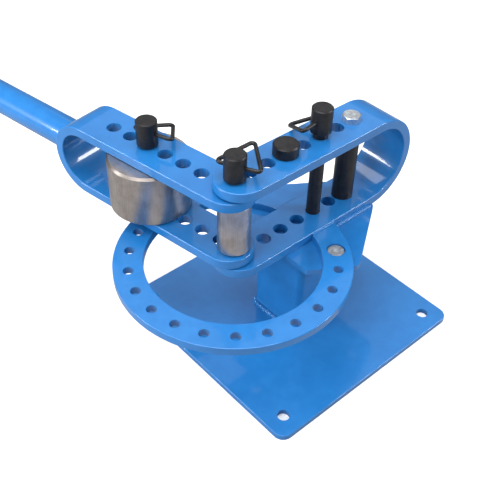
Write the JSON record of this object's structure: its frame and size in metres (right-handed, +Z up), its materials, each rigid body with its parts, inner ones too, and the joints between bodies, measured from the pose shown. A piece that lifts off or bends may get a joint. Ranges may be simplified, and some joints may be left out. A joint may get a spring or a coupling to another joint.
{
  "type": "bar bender",
  "caption": "Bench or floor bar and tube bender: a base plate and post carry a fixed U-frame and an index ring; a second U-frame with a tube handle swings round dies on clip pins.",
  "frame": {"origin": "centre of the base plate, on its underside", "axes": "+Z up; +X along the fixed frame from the pivot towards its bend; +Y to its left"},
  "size_m": [0.3866, 1.0178, 0.2495],
  "materials": {
    "blue_paint": "gloss enamel",
    "turned_steel": "turned, lightly oiled",
    "plain_steel": "satin",
    "black_oxide": "black oxide",
    "zinc_plate": "zinc plated",
    "black_plastic": "moulded"
  },
  "bodies": {
    "stand": {"base_plate": "blue_paint", "post_tube": "blue_paint", "post_base_weld": "blue_paint", "post_top_weld": "blue_paint", "bracket_plate": "blue_paint", "index_ring": "blue_paint", "fixed_frame": "blue_paint", "ring_bolt": "zinc_plate", "ring_bolt_nut": "zinc_plate", "spacer_sleeve": "black_oxide", "spacer_bolt": "zinc_plate", "spacer_bolt_nut": "zinc_plate", "pivot_washer_lower": "plain_steel", "pivot_washer_upper": "plain_steel"},
    "swing_arm": {"swing_frame": "blue_paint", "handle_tube": "blue_paint", "handle_weld": "blue_paint", "handle_end_plug": "black_plastic"},
    "centre_pin": {"centre_pin": "black_oxide"},
    "centre_pin_bail": {"centre_pin_bail": "black_oxide"},
    "centre_die": {"centre_die": "turned_steel"},
    "large_die": {"large_die": "turned_steel"},
    "die_pin": {"die_pin": "black_oxide"},
    "die_pin_bail": {"die_pin_bail": "black_oxide"},
    "stop_pin": {"stop_pin": "black_oxide"},
    "stop_pin_bail": {"stop_pin_bail": "black_oxide"},
    "stop_peg": {"stop_peg": "black_oxide"}
  },
  "joints": [
    {"name": "arm_swing", "type": "hinge", "parent": "stand", "child": "swing_arm", "pos_m": [-0.08, 0, 0.1673], "axis": [0, 0, 1], "range_deg": [-62, 230]},
    {"name": "centre_pin_lift", "type": "slide", "parent": "stand", "child": "centre_pin", "axis": [0, 0, 1], "range_m": [0, 0.11]},
    {"name": "centre_pin_bail_turn", "type": "hinge", "parent": "centre_pin", "child": "centre_pin_bail", "pos_m": [-0.08, 0, 0.2326], "axis": [0.4431, -0.8965, 0], "range_deg": [-24, 55]},
    {"name": "centre_die_spin", "type": "hinge", "parent": "stand", "child": "centre_die", "pos_m": [-0.08, 0, 0.1673], "axis": [0, 0, 1], "continuous": true},
    {"name": "large_die_spin", "type": "hinge", "parent": "swing_arm", "child": "large_die", "pos_m": [-0.09782, 0.1048, 0.1673], "axis": [0, 0, 1], "continuous": true},
    {"name": "die_pin_lift", "type": "slide", "parent": "swing_arm", "child": "die_pin", "axis": [0, 0, 1], "range_m": [0, 0.085]},
    {"name": "die_pin_bail_turn", "type": "hinge", "parent": "die_pin", "child": "die_pin_bail", "pos_m": [-0.09782, 0.1048, 0.221], "axis": [0.3535, -0.9354, 0], "range_deg": [-10, 60]},
    {"name": "stop_pin_lift", "type": "slide", "parent": "stand", "child": "stop_pin", "axis": [0, 0, 1], "range_m": [0, 0.11]},
    {"name": "stop_pin_bail_turn", "type": "hinge", "parent": "stop_pin", "child": "stop_pin_bail", "pos_m": [0.0263, 0, 0.2365], "axis": [0.9903, 0.1392, 0], "range_deg": [-2, 70]},
    {"name": "stop_peg_lift", "type": "slide", "parent": "stand", "child": "stop_peg", "axis": [0, 0, 1], "range_m": [0, 0.015]}
  ]
}
